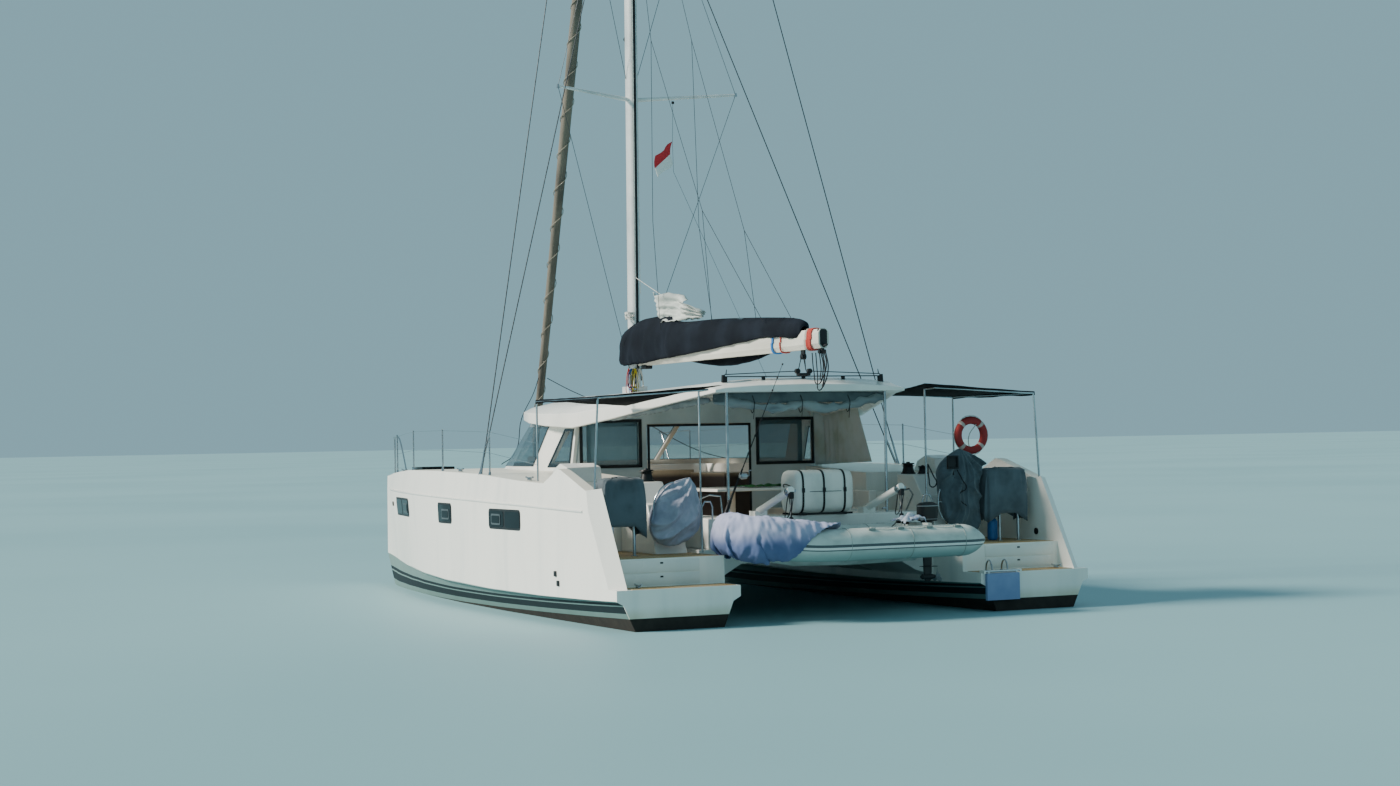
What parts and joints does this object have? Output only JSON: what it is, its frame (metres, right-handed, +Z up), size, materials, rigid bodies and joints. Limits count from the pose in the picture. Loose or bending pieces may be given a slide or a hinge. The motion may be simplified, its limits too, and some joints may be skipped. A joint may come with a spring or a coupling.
{
  "type": "sailing catamaran",
  "caption": "Cruising sailing catamaran with bridgedeck cabin, hard top over an open cockpit, covered helms under biminis, furled sails and an inflatable dinghy on stern davits.",
  "frame": {"origin": "on the centreline at the waterline, six metres ahead of the transoms", "axes": "+X towards the bows, +Y to port, +Z up"},
  "size_m": [12.403, 6.91, 20.375],
  "materials": {
    "gelcoat": "glossy gelcoat, with teal and dark stripes on the topsides",
    "antifouling": "flat dark brown antifouling",
    "smoked_glass": "smoked, polished",
    "spar_alloy": "painted and anodised, satin",
    "drive_alloy": "painted, satin",
    "stainless": "polished",
    "slate_cloth": "woven acrylic",
    "dark_cloth": "woven acrylic",
    "black_canvas": "woven acrylic",
    "sail_strip": "sun cover strip",
    "lavender_cloth": "faded acrylic",
    "tube_fabric": "coated fabric, matt",
    "dinghy_shell": "satin",
    "buoy_foam": "satin",
    "wood": "satin varnish",
    "motor_black": "satin",
    "net": "open net"
  },
  "bodies": {
    "boat": {"hull_port": "gelcoat", "hull_starboard": "gelcoat", "bridgedeck": "gelcoat", "cabin_house": "gelcoat", "aft_bulkhead": "gelcoat", "hardtop": "gelcoat", "cockpit_seating": "gelcoat", "cockpit_lounge": "gelcoat", "life_raft": "gelcoat", "helm_console_port": "gelcoat", "helm_console_starboard": "gelcoat", "helm_pod_port": "gelcoat", "helm_pod_starboard": "gelcoat", "davit_port": "gelcoat", "davit_starboard": "gelcoat", "keel_port": "antifouling", "keel_starboard": "antifouling", "windscreen": "smoked_glass", "side_window_port": "smoked_glass", "side_window_starboard": "smoked_glass", "bow_beam": "spar_alloy", "mast": "spar_alloy", "saildrive_port": "drive_alloy", "saildrive_starboard": "drive_alloy", "hardtop_post_port": "stainless", "hardtop_post_starboard": "stainless", "cap_shroud_port": "stainless", "cap_shroud_starboard": "stainless", "lower_shroud_port": "stainless", "lower_shroud_starboard": "stainless", "bimini_frame_port": "stainless", "bimini_frame_starboard": "stainless", "helm_seat_port": "slate_cloth", "helm_seat_starboard": "slate_cloth", "bimini_cloth_port": "black_canvas", "bimini_cloth_starboard": "black_canvas", "wheel_cover_port": "lavender_cloth", "wheel_cover_starboard": "lavender_cloth", "dinghy_cover": "lavender_cloth", "dinghy_tube": "tube_fabric", "dinghy_hull": "dinghy_shell", "lifebuoy": "buoy_foam", "cockpit_table": "wood", "saloon_furniture": "wood", "trampoline_port": "net", "trampoline_starboard": "net"},
    "rudder_port": {"rudder_port": "antifouling"},
    "rudder_starboard": {"rudder_starboard": "antifouling"},
    "propeller_port": {"propeller_port": "drive_alloy"},
    "propeller_starboard": {"propeller_starboard": "drive_alloy"},
    "boom": {"boom": "spar_alloy", "sail_cover": "dark_cloth"},
    "door_port": {"saloon_door_port": "smoked_glass"},
    "door_starboard": {"saloon_door_starboard": "smoked_glass"},
    "headsail": {"furled_headsail": "sail_strip"},
    "outboard": {"outboard": "motor_black"},
    "outboard_propeller": {"outboard_propeller": "drive_alloy"},
    "ladder": {"boarding_ladder": "stainless"},
    "hatch_port": {"deck_hatch_port": "smoked_glass"},
    "hatch_starboard": {"deck_hatch_starboard": "smoked_glass"}
  },
  "joints": [
    {"name": "rudder_port_turn", "type": "hinge", "parent": "boat", "child": "rudder_port", "pos_m": [-4.95, 2.575, -0.6], "axis": [0, 0, 1], "range_deg": [-35, 35]},
    {"name": "rudder_starboard_turn", "type": "hinge", "parent": "boat", "child": "rudder_starboard", "pos_m": [-4.95, -2.575, -0.6], "axis": [0, 0, 1], "range_deg": [-35, 35]},
    {"name": "propeller_port_spin", "type": "hinge", "parent": "boat", "child": "propeller_port", "pos_m": [-4.195, 2.565, -0.78], "axis": [1, 0, 0], "continuous": true},
    {"name": "propeller_starboard_spin", "type": "hinge", "parent": "boat", "child": "propeller_starboard", "pos_m": [-4.195, -2.565, -0.78], "axis": [1, 0, 0], "continuous": true},
    {"name": "boom_swing", "type": "hinge", "parent": "boat", "child": "boom", "pos_m": [0.96, 0, 3.6], "axis": [0, 0, 1], "range_deg": [-50, 50]},
    {"name": "door_port_slide", "type": "slide", "parent": "boat", "child": "door_port", "axis": [0, -1, 0], "range_m": [0, 0.885]},
    {"name": "door_starboard_slide", "type": "slide", "parent": "boat", "child": "door_starboard", "axis": [0, 1, 0], "range_m": [0, 0.885]},
    {"name": "headsail_furl", "type": "hinge", "parent": "boat", "child": "headsail", "pos_m": [5.64, 0, 1.8], "axis": [-0.2978, 0, 0.9546], "continuous": true},
    {"name": "outboard_steer", "type": "hinge", "parent": "boat", "child": "outboard", "pos_m": [-5.6, -1.07, 1.1], "axis": [0, 0, 1], "range_deg": [-30, 30]},
    {"name": "outboard_propeller_spin", "type": "hinge", "parent": "outboard", "child": "outboard_propeller", "pos_m": [-5.6, -1.325, 0.47], "axis": [0, 1, 0], "continuous": true},
    {"name": "ladder_fold", "type": "hinge", "parent": "boat", "child": "ladder", "pos_m": [-6.037, -2.045, 0.53], "axis": [0, 1, 0], "range_deg": [0, 100]},
    {"name": "hatch_port_lid", "type": "hinge", "parent": "boat", "child": "hatch_port", "pos_m": [3.87, 2.49, 1.9446], "axis": [0, 1, 0], "range_deg": [0, 85]},
    {"name": "hatch_starboard_lid", "type": "hinge", "parent": "boat", "child": "hatch_starboard", "pos_m": [3.87, -2.49, 1.9446], "axis": [0, 1, 0], "range_deg": [0, 85]}
  ],
  "couplings": [
    {"joint": "rudder_starboard_turn", "follows": "rudder_port_turn", "ratio": 1}
  ]
}
